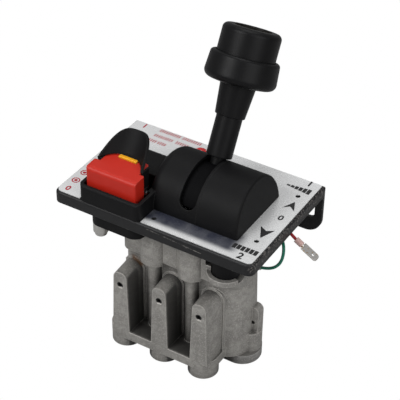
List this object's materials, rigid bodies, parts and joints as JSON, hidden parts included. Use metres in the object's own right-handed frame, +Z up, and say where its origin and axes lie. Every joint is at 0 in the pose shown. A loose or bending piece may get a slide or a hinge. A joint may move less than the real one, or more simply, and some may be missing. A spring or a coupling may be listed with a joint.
{
  "type": "hydraulic proportional control valve",
  "caption": "Cab-mounted proportional control valve with a lift-collar lever in a slotted dome, a red-grip switch lever, a labelled plate and a ribbed cast body with ports below.",
  "frame": {"origin": "centre of the mouth of the middle port of the three in the underside of the front edge", "axes": "+X to the right along the row of ports, +Y to the back towards the rear flange, +Z up towards the plate and lever"},
  "size_m": [0.1686, 0.1151, 0.2288],
  "materials": {
    "cast_body": "rough sand-cast aluminium, grey",
    "cast_cover": "machined cast aluminium",
    "gasket": "black rubber",
    "zinc_steel": "zinc-plated steel",
    "black_moulding": "black moulded plastic, satin",
    "black_knob": "black moulded plastic, satin",
    "pale_disc": "pale cream plastic, bare",
    "brass": "turned brass",
    "bronze": "sintered bronze",
    "painted_plate": "black paint, worn at the edges",
    "label": null,
    "steel_shaft": "ground steel",
    "spring_steel": "spring steel wire",
    "seal": "black nitrile rubber",
    "red_grip": "red moulded plastic, satin",
    "yellow_catch": "yellow moulded plastic, satin",
    "fitting": "plated metal",
    "lamp_red": "red translucent plastic",
    "lamp_black": "black plastic",
    "red_cover": "dark red wire cover",
    "green_cover": "green wire cover",
    "tinned": "tinned brass",
    "clear_sleeve": "milky soft plastic"
  },
  "bodies": {
    "base": {"valve_body": "cast_body", "bottom_cover": "cast_cover", "bottom_cover_gasket": "gasket", "bottom_cover_screws": "zinc_steel", "body_gasket": "gasket", "pivot_housing": "black_moulding", "housing_screws": "zinc_steel", "rod_guides": "brass", "shaft_bushes": "bronze", "mounting_plate": "painted_plate", "face_label": "label", "plate_screws": "zinc_steel", "control_cover": "black_moulding", "dome_end_cover": "black_moulding", "switch_pin": "steel_shaft", "switch_valve_body": "black_moulding", "switch_valve_screws": "zinc_steel", "switch_guide": "brass", "air_fitting": "fitting", "lamp_lens": "lamp_red", "lamp_body": "lamp_black", "red_wire": "red_cover", "red_terminal": "tinned", "terminal_sleeve": "clear_sleeve", "green_wire": "green_cover", "earth_terminal": "tinned", "earth_screw": "zinc_steel", "raise_spring": "spring_steel", "lower_spring": "spring_steel", "switch_spring": "spring_steel"},
    "lever": {"pivot_shaft": "steel_shaft", "shaft_rings": "zinc_steel", "lever_drum": "black_moulding", "raise_cam": "steel_shaft", "lower_cam": "steel_shaft", "lever_stem": "black_knob", "lever_knob": "black_knob", "knob_disc": "pale_disc", "collar_spring": "spring_steel"},
    "collar": {"lift_collar": "black_knob", "lock_rod": "steel_shaft", "lock_pin": "steel_shaft"},
    "raise_valve": {"raise_spool": "steel_shaft", "raise_spool_rings": "seal"},
    "lower_valve": {"lower_spool": "steel_shaft", "lower_spool_rings": "seal"},
    "switch": {"switch_lever": "black_moulding", "switch_grip": "red_grip", "catch_spring": "spring_steel"},
    "catch": {"switch_catch": "yellow_catch"},
    "switch_valve": {"switch_plunger": "steel_shaft", "switch_plunger_ring": "seal"}
  },
  "joints": [
    {"name": "lever_swing", "type": "hinge", "parent": "base", "child": "lever", "pos_m": [0.0142, 0.0298, 0.1197], "axis": [1, 0, 0], "range_deg": [-3, 79]},
    {"name": "collar_lift", "type": "slide", "parent": "lever", "child": "collar", "axis": [0, 0.4695, 0.8829], "range_m": [0, 0.005], "stiffness_N_per_m": 900, "springref_m": -0.004, "deforming": ["collar_spring"]},
    {"name": "raise_travel", "type": "slide", "parent": "base", "child": "raise_valve", "axis": [0, 0, 1], "range_m": [-0.00021, 0.00553], "deforming": ["raise_spring"]},
    {"name": "lower_travel", "type": "slide", "parent": "base", "child": "lower_valve", "axis": [0, 0, -1], "range_m": [-0.00021, 0.00553], "deforming": ["lower_spring"]},
    {"name": "switch_swing", "type": "hinge", "parent": "base", "child": "switch", "pos_m": [-0.034, 0.005, 0.127], "axis": [-1, 0, 0], "range_deg": [0, 28]},
    {"name": "catch_press", "type": "slide", "parent": "switch", "child": "catch", "axis": [0, 0, -1], "range_m": [0, 0.0025], "stiffness_N_per_m": 250, "springref_m": -0.002, "deforming": ["catch_spring"]},
    {"name": "switch_valve_travel", "type": "slide", "parent": "base", "child": "switch_valve", "axis": [0, 0, -1], "range_m": [0, 0.00238], "deforming": ["switch_spring"]}
  ],
  "couplings": [
    {"joint": "raise_travel", "follows": "lever_swing", "m_per_rad": 0.0040107},
    {"joint": "lower_travel", "follows": "lever_swing", "m_per_rad": 0.0040107},
    {"joint": "switch_swing", "follows": "switch_valve_travel", "rad_per_m": 205.33}
  ]
}
